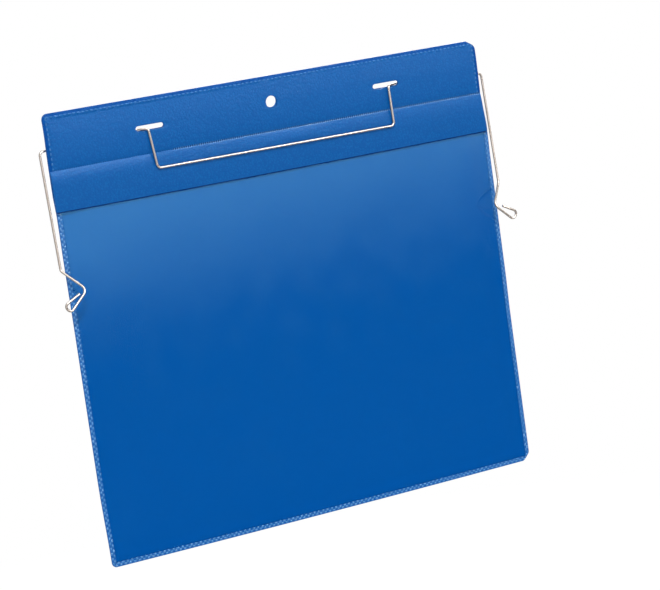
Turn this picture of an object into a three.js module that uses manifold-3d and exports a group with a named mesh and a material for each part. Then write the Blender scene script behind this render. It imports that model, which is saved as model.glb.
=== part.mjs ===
// A hanging document pocket: a blue back sheet, a clear window film welded to it, a rain flap over the mouth,
// and one bent wire hanger that is threaded through two slots in the header.
// Millimetres, +Z up, +X to the right, and the front faces -Y. The origin is the centre of the hang hole,
// where the back sheet's front face lies.
import * as THREE from "three";
import { mergeVertices } from "three/addons/utils/BufferGeometryUtils.js";
import Module from "manifold-3d";

const wasm = await Module();
wasm.setup();

// Sheets
const POCKET_WIDTH = 311;
const POCKET_HEIGHT = 280;
const BACK_THICKNESS = 0.5;
const FLAP_THICKNESS = 0.5;
const FILM_THICKNESS = 0.3;
const TOP_CORNER_RADIUS = 4;
const BOTTOM_CORNER_RADIUS = 3;

// Window film
const WELD_WIDTH = 4.5;
const MOUTH_DROP = 50;
const PAPER_ROOM = 1;
const FILM_RISE_WIDTH = 14;

// Header: the hole, the slots and the facing in front of the back sheet
const HOLE_DIAMETER = 8;
const HOLE_DROP = 16.1;
const SLOT_LENGTH = 19;
const SLOT_HEIGHT = 3.5;
const SLOT_DROP = 18.5;
const SLOT_SPACING = 170;
const TOP_WELD_WIDTH = 6;
const CREASE_DROP = 34.8;
const CREASE_STAND_OFF = 0.5;

// Rain flap
const CREASE_GAP = 0.3;
const FLAP_LENGTH = 25.4;
const FLAP_BEND_LENGTH = 15;
const FLAP_FILM_CLEARANCE = 0.4;
const FLAP_HEM_RADIUS = 1;

// Wire hanger
const WIRE_DIAMETER = 1.5;
const WIRE_CLEARANCE = 0.3;
const WIRE_BEND_RADIUS = 2.5;
const SWING_AXIS_DROP = 22.2;
const RUN_REACH_PAST_SLOT_MIDDLE = 8;
const RUN_START_RISE = 3.3;
const ARM_STAND_OFF = 3.55;
const ARM_BACKSET = 1.1;
const ARM_LENGTH = 72.3;
const ARM_LEAN = 4.2;
const LEG_FROM_SLOT_MIDDLE = 1.6;
const LEG_TOP_RISE = 2.9;
const LEG_STAND_OFF = 4;
const LEG_LENGTH = 24.7;
const LEG_TOE_IN = 1.9;
const LEG_LEAN = 0.8;
const THREAD_BEND_RADIUS = 1.6;

// Hooks at the ends of the arms
const HOOK_NOTCH_DEPTH = 11.1;
const HOOK_NOTCH_DROP = 12.9;
const HOOK_NOTCH_FORWARD = 9.1;
const HOOK_NOTCH_RADIUS = 4.2;
const HOOK_RETURN_REACH = 12.9;
const HOOK_RETURN_DROP = 11.9;
const HOOK_RETURN_FORWARD = 0.5;
const HOOK_EYE_REACH = 3.9;
const HOOK_EYE_RISE = 4.7;
const HOOK_EYE_RADIUS = 2.4;
const HOOK_TIP_REACH = 11.2;
const HOOK_TIP_RISE = 5.7;
const HOOK_TIP_FORWARD = 0.4;

// Fineness of the round forms
const ARC_SEGMENTS = 12;
const WIRE_SIDES = 10;
const BEND_STEPS = 8;
const FILM_RISE_STEPS = 5;
const FLAP_BEND_STEPS = 8;
const CUT_OVERRUN = 5;

// Places that follow from the sizes above
const TOP_Z = HOLE_DROP;
const BOTTOM_Z = TOP_Z - POCKET_HEIGHT;
const SLOT_Z = TOP_Z - SLOT_DROP;
const CREASE_Z = TOP_Z - CREASE_DROP;
const MOUTH_Z = TOP_Z - MOUTH_DROP;
const FLAP_TOP_Z = CREASE_Z - CREASE_GAP / 2;
const HALF_WIDTH = POCKET_WIDTH / 2;
const FILM_WELD_X = HALF_WIDTH - WELD_WIDTH;
const FILM_WELD_Z = BOTTOM_Z + WELD_WIDTH;
const WIRE_RADIUS = WIRE_DIAMETER / 2;
const SWING_AXIS_Y = BACK_THICKNESS + WIRE_CLEARANCE + WIRE_RADIUS;
const SWING_AXIS_Z = TOP_Z - SWING_AXIS_DROP;

const materials = {
  sheet: new THREE.MeshStandardMaterial({ color: 0x1c5faa, roughness: 0.5, metalness: 0 }),
  film: new THREE.MeshStandardMaterial({
    color: 0xd8e6f4,
    roughness: 0.08,
    metalness: 0,
    transparent: true,
    opacity: 0.3,
  }),
  wire: new THREE.MeshStandardMaterial({ color: 0xc9c6c4, roughness: 0.3, metalness: 1 }),
};

// Booleans: a closed geometry becomes a solid, and a solid becomes a geometry again.
function toSolid(geometry) {
  const bare = geometry.clone();
  bare.deleteAttribute("normal");
  bare.deleteAttribute("uv");
  const merged = mergeVertices(bare);
  return new wasm.Manifold(
    new wasm.Mesh({
      numProp: 3,
      vertProperties: merged.attributes.position.array,
      triVerts: new Uint32Array(merged.index.array),
    }),
  );
}

function toGeometry(solid) {
  const mesh = solid.getMesh();
  const geometry = new THREE.BufferGeometry();
  geometry.setAttribute("position", new THREE.BufferAttribute(mesh.vertProperties, mesh.numProp));
  geometry.setIndex(new THREE.BufferAttribute(mesh.triVerts, 1));
  geometry.computeVertexNormals();
  return geometry;
}

// A plate whose outline is drawn in X and Z, from the front face at frontY back to backY.
function plate(outline, frontY, backY) {
  const geometry = new THREE.ExtrudeGeometry(outline, {
    depth: backY - frontY,
    bevelEnabled: false,
    curveSegments: ARC_SEGMENTS,
  });
  geometry.rotateX(Math.PI / 2);
  geometry.translate(0, backY, 0);
  return geometry;
}

// The rectangle from bottomZ to topZ, as wide as the pocket, with round corners. A radius of 0 is a square one.
function sheetOutline(topZ, bottomZ, topRadius, bottomRadius) {
  const outline = new THREE.Shape();
  outline.moveTo(-HALF_WIDTH + bottomRadius, bottomZ);
  outline.lineTo(HALF_WIDTH - bottomRadius, bottomZ);
  if (bottomRadius > 0) {
    outline.absarc(HALF_WIDTH - bottomRadius, bottomZ + bottomRadius, bottomRadius, -Math.PI / 2, 0);
  }
  outline.lineTo(HALF_WIDTH, topZ - topRadius);
  if (topRadius > 0) {
    outline.absarc(HALF_WIDTH - topRadius, topZ - topRadius, topRadius, 0, Math.PI / 2);
  }
  outline.lineTo(-HALF_WIDTH + topRadius, topZ);
  if (topRadius > 0) {
    outline.absarc(-HALF_WIDTH + topRadius, topZ - topRadius, topRadius, Math.PI / 2, Math.PI);
  }
  outline.lineTo(-HALF_WIDTH, bottomZ + bottomRadius);
  if (bottomRadius > 0) {
    outline.absarc(-HALF_WIDTH + bottomRadius, bottomZ + bottomRadius, bottomRadius, Math.PI, 1.5 * Math.PI);
  }
  return outline;
}

function slotOutline(middleX) {
  const end = SLOT_HEIGHT / 2;
  const straight = SLOT_LENGTH / 2 - end;
  const outline = new THREE.Shape();
  outline.absarc(middleX + straight, SLOT_Z, end, -Math.PI / 2, Math.PI / 2);
  outline.absarc(middleX - straight, SLOT_Z, end, Math.PI / 2, 1.5 * Math.PI);
  return outline;
}

function holeOutline() {
  return new THREE.Shape().absarc(0, 0, HOLE_DIAMETER / 2, 0, 2 * Math.PI);
}

// The hang hole and both slots, cut through every layer of the header.
function cutHeader(solid) {
  const outlines = [holeOutline(), slotOutline(-SLOT_SPACING / 2), slotOutline(SLOT_SPACING / 2)];
  return outlines.reduce(
    (cut, outline) => cut.subtract(toSolid(plate(outline, -CUT_OVERRUN, CUT_OVERRUN))),
    solid,
  );
}

// A sheet of even thickness over a grid of X and Z lines. innerY gives how far forward (-Y) its back face
// stands at each crossing, and the front face lies one thickness in front of it.
function formedSheet(xs, zs, thickness, innerY) {
  const positions = [];
  const columns = xs.length;
  const layer = columns * zs.length;
  for (const offset of [0, -thickness]) {
    for (const z of zs) {
      for (const x of xs) {
        positions.push(x, innerY(x, z) + offset, z);
      }
    }
  }
  const indices = [];
  const quad = (a, b, c, d) => indices.push(a, b, c, a, c, d);
  for (let row = 0; row < zs.length - 1; row++) {
    for (let column = 0; column < columns - 1; column++) {
      const a = row * columns + column;
      quad(a, a + columns, a + columns + 1, a + 1);
      quad(layer + a, layer + a + 1, layer + a + columns + 1, layer + a + columns);
    }
  }
  const last = (zs.length - 1) * columns;
  for (let column = 0; column < columns - 1; column++) {
    quad(column, column + 1, layer + column + 1, layer + column);
    quad(last + column + 1, last + column, layer + last + column, layer + last + column + 1);
  }
  for (let row = 0; row < zs.length - 1; row++) {
    const left = row * columns;
    const right = left + columns - 1;
    quad(left + columns, left, layer + left, layer + left + columns);
    quad(right, right + columns, layer + right + columns, layer + right);
  }
  const geometry = new THREE.BufferGeometry();
  geometry.setAttribute("position", new THREE.Float32BufferAttribute(positions, 3));
  geometry.setIndex(indices);
  geometry.computeVertexNormals();
  return geometry;
}

// 0 before start, 1 after start + width, with no corner at either end.
function smoothRise(value, start, width) {
  const share = Math.min(Math.max((value - start) / width, 0), 1);
  return share * share * (3 - 2 * share);
}

function evenSteps(from, to, count) {
  return Array.from({ length: count + 1 }, (_, i) => from + ((to - from) * i) / count);
}

function backSheet() {
  const blank = plate(
    sheetOutline(TOP_Z, BOTTOM_Z, TOP_CORNER_RADIUS, BOTTOM_CORNER_RADIUS),
    0,
    BACK_THICKNESS,
  );
  return new THREE.Mesh(toGeometry(cutHeader(toSolid(blank))), materials.sheet);
}

// The film lies flat on the back sheet in the welds and rises off it inside them, which leaves room for paper.
// It is open along its whole top edge. A stretch of it spans the lines xs and zs.
function filmStretch(xs, zs) {
  const innerY = (x, z) => {
    const fromSide = smoothRise(FILM_WELD_X - Math.abs(x), 0, FILM_RISE_WIDTH);
    const fromBottom = smoothRise(z, FILM_WELD_Z, FILM_RISE_WIDTH);
    return -PAPER_ROOM * Math.min(fromSide, fromBottom);
  };
  const film = toSolid(formedSheet(xs, zs, FILM_THICKNESS, innerY));
  const trim = sheetOutline(MOUTH_Z, BOTTOM_Z, 0, BOTTOM_CORNER_RADIUS);
  const rounded = film.intersect(toSolid(plate(trim, -CUT_OVERRUN, CUT_OVERRUN)));
  return new THREE.Mesh(toGeometry(rounded), materials.film);
}

// The film is one sheet in four stretches that meet face to face: the flat window, and its welded edges.
function windowFilm() {
  const windowX = FILM_WELD_X - FILM_RISE_WIDTH;
  const windowZ = FILM_WELD_Z + FILM_RISE_WIDTH;
  const rightXs = [...evenSteps(windowX, FILM_WELD_X, FILM_RISE_STEPS), HALF_WIDTH];
  const leftXs = rightXs.map((x) => -x).reverse();
  const bottomZs = [BOTTOM_Z, ...evenSteps(FILM_WELD_Z, windowZ, FILM_RISE_STEPS)];
  return {
    window_film: filmStretch([-windowX, windowX], [windowZ, MOUTH_Z]),
    left_film_edge: filmStretch(leftXs, [...bottomZs, MOUTH_Z]),
    right_film_edge: filmStretch(rightXs, [...bottomZs, MOUTH_Z]),
    bottom_film_edge: filmStretch([-windowX, windowX], bottomZs),
  };
}

// The fixed upper band of the rain flap's sheet: flat in the top weld, then leaning forward to the crease.
function headerFacing() {
  const weldZ = TOP_Z - TOP_WELD_WIDTH;
  const bottomZ = CREASE_Z + CREASE_GAP / 2;
  const innerY = (x, z) => (-CREASE_STAND_OFF * Math.max(weldZ - z, 0)) / (weldZ - bottomZ);
  const band = formedSheet([-HALF_WIDTH, HALF_WIDTH], [bottomZ, weldZ, TOP_Z], FLAP_THICKNESS, innerY);
  const trim = sheetOutline(TOP_Z, bottomZ - CUT_OVERRUN, TOP_CORNER_RADIUS, 0);
  const rounded = toSolid(band).intersect(toSolid(plate(trim, -CUT_OVERRUN, CUT_OVERRUN)));
  return new THREE.Mesh(toGeometry(cutHeader(rounded)), materials.sheet);
}

// The moving lower part: it stands forward below the crease to pass over the mouth, then hangs straight.
function rainFlap() {
  const hemZ = CREASE_Z - FLAP_LENGTH;
  const bendEndZ = FLAP_TOP_Z - FLAP_BEND_LENGTH;
  const hemY = -(PAPER_ROOM + FILM_THICKNESS + FLAP_FILM_CLEARANCE);
  const innerY = (x, z) => {
    const bent = Math.sin((Math.min((FLAP_TOP_Z - z) / FLAP_BEND_LENGTH, 1) * Math.PI) / 2);
    return -CREASE_STAND_OFF + (hemY + CREASE_STAND_OFF) * bent;
  };
  const zs = [hemZ, ...evenSteps(bendEndZ, FLAP_TOP_Z, FLAP_BEND_STEPS)];
  const flap = formedSheet([-HALF_WIDTH, HALF_WIDTH], zs, FLAP_THICKNESS, innerY);
  const trim = sheetOutline(FLAP_TOP_Z + CUT_OVERRUN, hemZ, 0, FLAP_HEM_RADIUS);
  const rounded = toSolid(flap).intersect(toSolid(plate(trim, -CUT_OVERRUN, CUT_OVERRUN)));
  return new THREE.Mesh(toGeometry(rounded), materials.sheet);
}

// A wire's centre line: straight runs between corners, with each corner rounded to its own radius.
// It hands out its points by station, so the long straight runs take no steps of their own.
class BentWire extends THREE.Curve {
  constructor(corners) {
    super();
    this.stations = [];
    this.tangents = [];
    corners.forEach(({ at, radius }, i) => {
      const before = corners[i - 1];
      const after = corners[i + 1];
      const arriving = before && at.clone().sub(before.at).normalize();
      const leaving = after && after.at.clone().sub(at).normalize();
      if (!before || !after) {
        this.stations.push(at);
        this.tangents.push(arriving ?? leaving);
        return;
      }
      const turn = arriving.angleTo(leaving);
      const tangentLength = radius * Math.tan(turn / 2);
      const start = at.clone().addScaledVector(arriving, -tangentLength);
      const inward = leaving.clone().addScaledVector(arriving, -leaving.dot(arriving)).normalize();
      for (let step = 0; step <= BEND_STEPS; step++) {
        const angle = (turn * step) / BEND_STEPS;
        this.stations.push(
          start
            .clone()
            .addScaledVector(arriving, radius * Math.sin(angle))
            .addScaledVector(inward, radius * (1 - Math.cos(angle))),
        );
        this.tangents.push(
          arriving.clone().multiplyScalar(Math.cos(angle)).addScaledVector(inward, Math.sin(angle)),
        );
      }
    });
  }

  get steps() {
    return this.stations.length - 1;
  }

  getPointAt(share) {
    return this.stations[Math.round(share * this.steps)].clone();
  }

  getTangentAt(share) {
    return this.tangents[Math.round(share * this.steps)].clone();
  }

  getSpacedPoints() {
    return this.stations.map((point) => point.clone());
  }
}

// The corners of the right half of the wire, from the middle of the front bar out to the tip of the hook.
function wireCorners() {
  const legX = SLOT_SPACING / 2 + LEG_FROM_SLOT_MIDDLE;
  const legY = SWING_AXIS_Y - LEG_STAND_OFF;
  const legZ = SWING_AXIS_Z + LEG_TOP_RISE;
  const barX = legX - LEG_TOE_IN;
  const armX = HALF_WIDTH + ARM_STAND_OFF;
  const armY = SWING_AXIS_Y + ARM_BACKSET;
  const armFootZ = SWING_AXIS_Z - ARM_LENGTH;
  const armFootY = armY - ARM_LEAN;
  const notchX = armX - HOOK_NOTCH_DEPTH;
  const notchY = armFootY - HOOK_NOTCH_FORWARD;
  const notchZ = armFootZ - HOOK_NOTCH_DROP;
  const heelX = notchX + HOOK_RETURN_REACH;
  const heelY = notchY - HOOK_RETURN_FORWARD;
  const heelZ = notchZ - HOOK_RETURN_DROP;
  const toeX = heelX + HOOK_EYE_REACH;
  const toeZ = heelZ + HOOK_EYE_RISE;
  const corner = (x, y, z, radius) => ({ at: new THREE.Vector3(x, y, z), radius });
  return [
    corner(barX, legY - LEG_LEAN, legZ - LEG_LENGTH, WIRE_BEND_RADIUS),
    corner(legX, legY, legZ, THREAD_BEND_RADIUS),
    corner(
      SLOT_SPACING / 2 + RUN_REACH_PAST_SLOT_MIDDLE,
      SWING_AXIS_Y,
      SWING_AXIS_Z + RUN_START_RISE,
      WIRE_BEND_RADIUS,
    ),
    corner(armX, armY, SWING_AXIS_Z, WIRE_BEND_RADIUS),
    corner(armX, armFootY, armFootZ, WIRE_BEND_RADIUS),
    corner(notchX, notchY, notchZ, HOOK_NOTCH_RADIUS),
    corner(heelX, heelY, heelZ, HOOK_EYE_RADIUS),
    corner(toeX, heelY, toeZ, HOOK_EYE_RADIUS),
    corner(toeX - HOOK_TIP_REACH, heelY - HOOK_TIP_FORWARD, toeZ + HOOK_TIP_RISE, 0),
  ];
}

function wireHanger() {
  const right = wireCorners();
  const left = right.map(({ at, radius }) => ({ at: at.clone().setX(-at.x), radius })).reverse();
  const centreLine = new BentWire([...left, ...right]);
  const section = new THREE.Shape(
    evenSteps(0, 2 * Math.PI, WIRE_SIDES)
      .slice(1)
      .map((angle) => new THREE.Vector2(WIRE_RADIUS * Math.cos(angle), WIRE_RADIUS * Math.sin(angle))),
  );
  const geometry = new THREE.ExtrudeGeometry(section, { steps: centreLine.steps, extrudePath: centreLine });
  return new THREE.Mesh(geometry, materials.wire);
}

const pieces = {
  back_sheet: backSheet(),
  ...windowFilm(),
  header_facing: headerFacing(),
  rain_flap: rainFlap(),
  wire_hanger: wireHanger(),
};

const pocket = new THREE.Group();
pocket.name = "hanging_document_pocket";
for (const [name, mesh] of Object.entries(pieces)) {
  mesh.name = name;
  pocket.add(mesh);
}

export default pocket;
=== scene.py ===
# %% [markdown]
# # A hanging document pocket
# The real pocket is a flat plastic envelope for one landscape sheet of paper. A grained blue back sheet
# carries a clear window film, which is welded on along three sides. A second blue sheet covers the header
# and folds down over the mouth as a rain flap. One bent steel wire is threaded through two slots, and its
# hooks hold the pocket on a mesh crate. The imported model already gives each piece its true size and
# place, so it is loaded first, and every value below is measured from it or is a small finish of its own.

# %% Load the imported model
from math import copysign, cos, pi, radians, sin

import bmesh
import bpy
from mathutils import Matrix, Quaternion, Vector


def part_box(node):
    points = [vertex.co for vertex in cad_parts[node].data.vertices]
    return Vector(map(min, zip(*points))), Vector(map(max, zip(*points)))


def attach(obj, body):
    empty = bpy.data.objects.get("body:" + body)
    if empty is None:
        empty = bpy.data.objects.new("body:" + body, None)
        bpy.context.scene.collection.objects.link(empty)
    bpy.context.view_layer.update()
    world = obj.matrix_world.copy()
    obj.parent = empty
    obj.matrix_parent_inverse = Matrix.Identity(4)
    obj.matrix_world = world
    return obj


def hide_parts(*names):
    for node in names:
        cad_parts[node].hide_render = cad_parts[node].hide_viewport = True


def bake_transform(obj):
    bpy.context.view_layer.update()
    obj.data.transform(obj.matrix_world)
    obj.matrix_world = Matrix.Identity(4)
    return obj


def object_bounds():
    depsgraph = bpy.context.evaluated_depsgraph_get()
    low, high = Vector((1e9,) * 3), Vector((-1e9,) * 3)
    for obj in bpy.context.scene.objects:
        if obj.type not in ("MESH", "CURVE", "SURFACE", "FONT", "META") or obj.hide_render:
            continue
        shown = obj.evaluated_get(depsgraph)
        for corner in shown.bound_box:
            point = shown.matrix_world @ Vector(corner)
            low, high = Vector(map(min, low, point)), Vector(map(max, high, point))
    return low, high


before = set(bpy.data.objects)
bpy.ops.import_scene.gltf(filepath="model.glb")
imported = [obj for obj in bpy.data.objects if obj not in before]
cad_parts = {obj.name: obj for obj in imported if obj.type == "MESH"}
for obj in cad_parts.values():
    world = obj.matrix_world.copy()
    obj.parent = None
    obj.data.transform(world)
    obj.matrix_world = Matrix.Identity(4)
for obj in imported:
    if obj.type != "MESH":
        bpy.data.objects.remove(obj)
cad_low, cad_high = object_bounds()
MM = 0.001
X_AXIS = Vector((1, 0, 0))
Y_AXIS = Vector((0, 1, 0))
Z_AXIS = Vector((0, 0, 1))
print("size in mm:", [round(side / MM, 1) for side in cad_high - cad_low])

# %% [markdown]
# ## The camera
# A long lens from the pocket's left, slightly above its middle, gives the calm, nearly parallel edges of
# a catalogue picture. The camera could be turned by three angles. Here it is aimed from a place to a
# point, and rolled about its own view, because those are the values that can be checked against the
# outline one by one.

# %% Place the camera
CAMERA_PLACE = Vector((-843.04, -1549.87, 113.0)) * MM
CAMERA_AIM = Vector((22.954, 0, -127.783)) * MM
CAMERA_ROLL = radians(-8.042)
CAMERA_LENS = 153.848
SENSOR_WIDTH = 36
camera_data = bpy.data.cameras.new("catalogue_camera")
camera_data.lens = CAMERA_LENS
camera_data.sensor_width = SENSOR_WIDTH
camera = bpy.data.objects.new("catalogue_camera", camera_data)
camera.location = CAMERA_PLACE
camera.rotation_mode = "QUATERNION"
aimed = (CAMERA_AIM - CAMERA_PLACE).to_track_quat("-Z", "Y")
camera.rotation_quaternion = aimed @ Quaternion(Z_AXIS, CAMERA_ROLL)
bpy.context.scene.collection.objects.link(camera)
bpy.context.scene.camera = camera
bpy.context.scene.view_settings.view_transform = "Standard"
print("camera to aim:", round((CAMERA_AIM - CAMERA_PLACE).length, 3), "m")

# %% [markdown]
# ## Sheets cut like sheets
# All three sheets start as stock: one rectangle, with its corners rounded and its holes punched. A
# rectangle could be cut by booleans, but a fill between the outline and the holes is exact and leaves no
# stray edges. The face is then sliced along straight lines, so that it can bend where the real sheet
# bends, and it gets its thickness last.

# %% Helpers for flat stock
CORNER_STEPS = 8
RING_SEGMENTS = 32
RIM_SEGMENTS = 2
SHARP_EDGE = radians(60)
SNAP = 1e-7
UPRIGHT = Matrix.Rotation(radians(90), 4, "X")


def rectangle(low_x, high_x, low_z, high_z):
    """One upright face at y = 0 that looks forward."""
    bm = bmesh.new()
    bmesh.ops.create_grid(bm, x_segments=1, y_segments=1, size=0.5)
    size = Matrix.Diagonal((high_x - low_x, high_z - low_z, 1, 1))
    middle = Matrix.Translation(((low_x + high_x) / 2, 0, (low_z + high_z) / 2))
    bmesh.ops.transform(bm, matrix=middle @ UPRIGHT @ size, verts=bm.verts)
    return bm


def bevel(bm, parts, offset, affect, segments):
    """Breaks edges or corners in so many segments."""
    bmesh.ops.bevel(
        bm,
        geom=parts,
        offset=offset,
        offset_type="OFFSET",
        affect=affect,
        segments=segments,
        profile=0.5,
        material=-1,
    )


def round_corners(bm, radius, chosen, steps=CORNER_STEPS):
    """Rounds the chosen corners, or cuts them straight where steps is 1."""
    bevel(bm, [vert for vert in bm.verts if chosen(vert.co)], radius, "VERTICES", steps)


def punch(bm, radius, middle_x, middle_z, straight=0.0):
    """The edge of a round hole, or of a slot that runs straight for so far from its middle."""
    ring = bmesh.ops.create_circle(bm, segments=RING_SEGMENTS, radius=radius, cap_ends=False)["verts"]
    for vert in ring:
        if abs(vert.co.x) > SNAP:
            vert.co.x += copysign(straight, vert.co.x)
    middle = Matrix.Translation((middle_x, 0, middle_z))
    bmesh.ops.transform(bm, matrix=middle @ UPRIGHT, verts=ring)


def fill_between(bm):
    """Replaces the blank face by one with the punched holes left open."""
    bmesh.ops.delete(bm, geom=bm.faces[:], context="FACES_ONLY")
    bmesh.ops.triangle_fill(bm, use_beauty=True, use_dissolve=True, edges=bm.edges[:], normal=-Y_AXIS)
    bmesh.ops.reverse_faces(bm, faces=[face for face in bm.faces if face.normal.y > 0])


def slice_lines(bm, across, places, chosen=None):
    """Cuts the faces along lines that lie square to across, everywhere or only in the chosen faces."""
    for place in places:
        faces = [face for face in bm.faces if chosen is None or chosen(face.calc_center_median())]
        edges = {edge for face in faces for edge in face.edges}
        verts = {vert for face in faces for vert in face.verts}
        bmesh.ops.bisect_plane(
            bm,
            geom=[*verts, *edges, *faces],
            dist=SNAP,
            plane_co=across * place,
            plane_no=across,
        )


def even_lines(low, high, spacing):
    """Places from low to high, both ends included, about the spacing apart."""
    count = max(1, round((high - low) / spacing))
    return [low + (high - low) * i / count for i in range(count + 1)]


def keep_flat_places(bm):
    """Keeps each point's place on the flat stock, in metres, as a UV map for the patterns."""
    flat = bm.loops.layers.uv.new("flat")
    for face in bm.faces:
        for loop in face.loops:
            loop[flat].uv = (loop.vert.co.x, loop.vert.co.z)


def thicken(bm, thickness, rim):
    """Gives the sheet its thickness towards the back, and breaks its sharp rim."""
    made = bmesh.ops.extrude_face_region(bm, geom=bm.faces[:])["geom"]
    back = [part for part in made if isinstance(part, bmesh.types.BMVert)]
    bmesh.ops.translate(bm, vec=Y_AXIS * thickness, verts=back)
    bmesh.ops.recalc_face_normals(bm, faces=bm.faces)
    sharp = [edge for edge in bm.edges if edge.calc_face_angle(0) > SHARP_EDGE]
    bevel(bm, sharp, rim, "EDGES", RIM_SEGMENTS)


def finished(bm, name, *materials):
    """Turns the bmesh into an object at the origin, with smooth faces."""
    for face in bm.faces:
        face.smooth = True
    mesh = bpy.data.meshes.new(name)
    bm.to_mesh(mesh)
    bm.free()
    for material in materials:
        mesh.materials.append(material)
    piece = bpy.data.objects.new(name, mesh)
    bpy.context.scene.collection.objects.link(piece)
    print(name, "has", len(mesh.polygons), "faces")
    return piece


print("a round corner gets", CORNER_STEPS, "steps, and a hole", RING_SEGMENTS, "sides")

# %% [markdown]
# ## Measures that the sheets share
# The outline, the slots and the hang hole run through both blue sheets, so their values stand here once.
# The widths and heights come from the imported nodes. The real sheets aren't quite true: the header's top
# edge leans back, its punched holes lie up to 0.7 mm out of place, and the cut edges wander by up to 1.2
# mm. Each edge could get its own modelling. It is simpler to cut the sheets true and to let them settle
# at the end.

# %% Read the sheet sizes from the frame
back_low, back_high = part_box("back_sheet")
facing_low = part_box("header_facing")[0]
flap_low, flap_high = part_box("rain_flap")
film_low, film_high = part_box("window_film")
HALF_WIDTH = back_high.x
TOP_Z = back_high.z
BOTTOM_Z = back_low.z
BACK_THICKNESS = back_high.y
FACING_THICKNESS = 0.5 * MM
TOP_CORNER_RADIUS = 4 * MM
BOTTOM_CORNER_RADIUS = 3 * MM
HOLE_RADIUS = 4 * MM
SLOT_Z = TOP_Z - 18.5 * MM
SLOT_MIDDLE_X = 85 * MM
SLOT_END_RADIUS = 1.75 * MM
SLOT_STRAIGHT = 9.5 * MM - SLOT_END_RADIUS
RIM = 0.1 * MM
LEAN_BACK = 1.3 * MM
LEAN_START_Z = -1.5 * MM
MOUTH_Z = film_high.z
WELD_WIDTH = 4.5 * MM
WELD_X = HALF_WIDTH - WELD_WIDTH
WELD_Z = BOTTOM_Z + WELD_WIDTH
RISE_X = film_high.x
RISE_Z = film_low.z
TRIM_WIDTH = 6.0 * MM
TRIM_DROP = 3.7 * MM
TRIM_ROUNDING = 2.2 * MM
BOTTOM_CHAMFER = 4.6 * MM
CHAMFER_ROUNDING = 1.2 * MM
CHAMFER_STEPS = 3
# How far each sheet's hang hole and its slots lie out of place, in x and z, in mm.
FRONT_SLIP = ((0.4, -0.5), (-0.7, -0.15))
BACK_SLIP = ((0.0, 0.4), (-0.4, 0.4))
# Each entry is a height, and how far the sheet's edge stands out from its true place there, in mm.
FLAP_LEFT_EDGE = [(16, 0.1), (-16, 0.7)]
LEFT_EDGE = [*FLAP_LEFT_EDGE, (-36, 0.7), (-49, 0.0), (-68, 0.2), (-110, 0.0), (-210, 0.0), (-264, -1.1)]
HEADER_RIGHT_EDGE = [(16, 0.3), (-14, -0.85), (-26, -0.7)]
FLAP_RIGHT_EDGE = [*HEADER_RIGHT_EDGE, (-44, 0.25)]
RIGHT_EDGE = [*HEADER_RIGHT_EDGE, (-46, 1.2), (-60, 0.95), (-135, 0.8), (-165, 0.35), (-264, 0.5)]
FOOT_FROM_Z = -215 * MM
FOOT_DROP = 0.3 * MM
FOOT_BOW = 0.6 * MM


def punch_header(bm, slip):
    (hole_x, hole_z), (slot_x, slot_z) = slip
    punch(bm, HOLE_RADIUS, hole_x * MM, hole_z * MM)
    for side in (-1, 1):
        middle_x = side * SLOT_MIDDLE_X + slot_x * MM
        punch(bm, SLOT_END_RADIUS, middle_x, SLOT_Z + slot_z * MM, SLOT_STRAIGHT)


def smooth_share(value):
    share = min(max(value, 0.0), 1.0)
    return share * share * (3 - 2 * share)


def step(value, start, full):
    """Climbs smoothly from 0 at start to 1 at full."""
    return smooth_share((value - start) / (full - start))


def trim_top(bm):
    """Rounds the upper left corner, and cuts the upper right one along a line before it is rounded."""
    bmesh.ops.bisect_plane(
        bm,
        geom=[*bm.verts, *bm.edges, *bm.faces],
        dist=SNAP,
        plane_co=Vector((HALF_WIDTH - TRIM_WIDTH, 0, TOP_Z)),
        plane_no=Vector((TRIM_DROP, 0, TRIM_WIDTH)).normalized(),
        clear_outer=True,
    )
    round_corners(bm, TOP_CORNER_RADIUS, lambda co: co.z > 0 and co.x < 0)
    round_corners(bm, TRIM_ROUNDING, lambda co: co.z > 0 and co.x > HALF_WIDTH - SNAP)


def trim_bottom(bm):
    """Rounds the lower left corner, and cuts the lower right one straight with its own corners broken."""
    low = BOTTOM_Z + SNAP
    round_corners(bm, BOTTOM_CORNER_RADIUS, lambda co: co.z < low and co.x < 0)
    round_corners(bm, BOTTOM_CHAMFER, lambda co: co.z < low and co.x > HALF_WIDTH - SNAP, 1)
    side = HALF_WIDTH - BOTTOM_CHAMFER - SNAP
    top = BOTTOM_Z + 2 * BOTTOM_CHAMFER
    round_corners(bm, CHAMFER_ROUNDING, lambda co: co.x > side and co.z < top, CHAMFER_STEPS)


def stands_out(edge, z):
    """How far an edge stands out at a height, eased from each of its points to the next."""
    for (high, out), (low, next_out) in zip(edge, edge[1:]):
        if z > low * MM:
            return MM * (out + (next_out - out) * step(z, high * MM, low * MM))
    return MM * edge[-1][1]


def settle(bm, left_edge=LEFT_EDGE, right_edge=RIGHT_EDGE):
    """Leans the header back, lets the side edges wander and the bottom edge sag."""
    for vert in bm.verts:
        x, z = vert.co.x, vert.co.z
        up = max(z - LEAN_START_Z, 0) / (TOP_Z - LEAN_START_Z)
        vert.co.y += LEAN_BACK * up * up
        vert.co.x += stands_out(left_edge if x < 0 else right_edge, z) * x / HALF_WIDTH
        sag = FOOT_DROP + FOOT_BOW * (1 - (x / HALF_WIDTH) ** 2)
        vert.co.z -= sag * step(z, FOOT_FROM_Z, BOTTOM_Z)


print("sheet width in mm:", round(2 * HALF_WIDTH / MM, 1))
print("sheet height in mm:", round((TOP_Z - BOTTOM_Z) / MM, 1))

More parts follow.
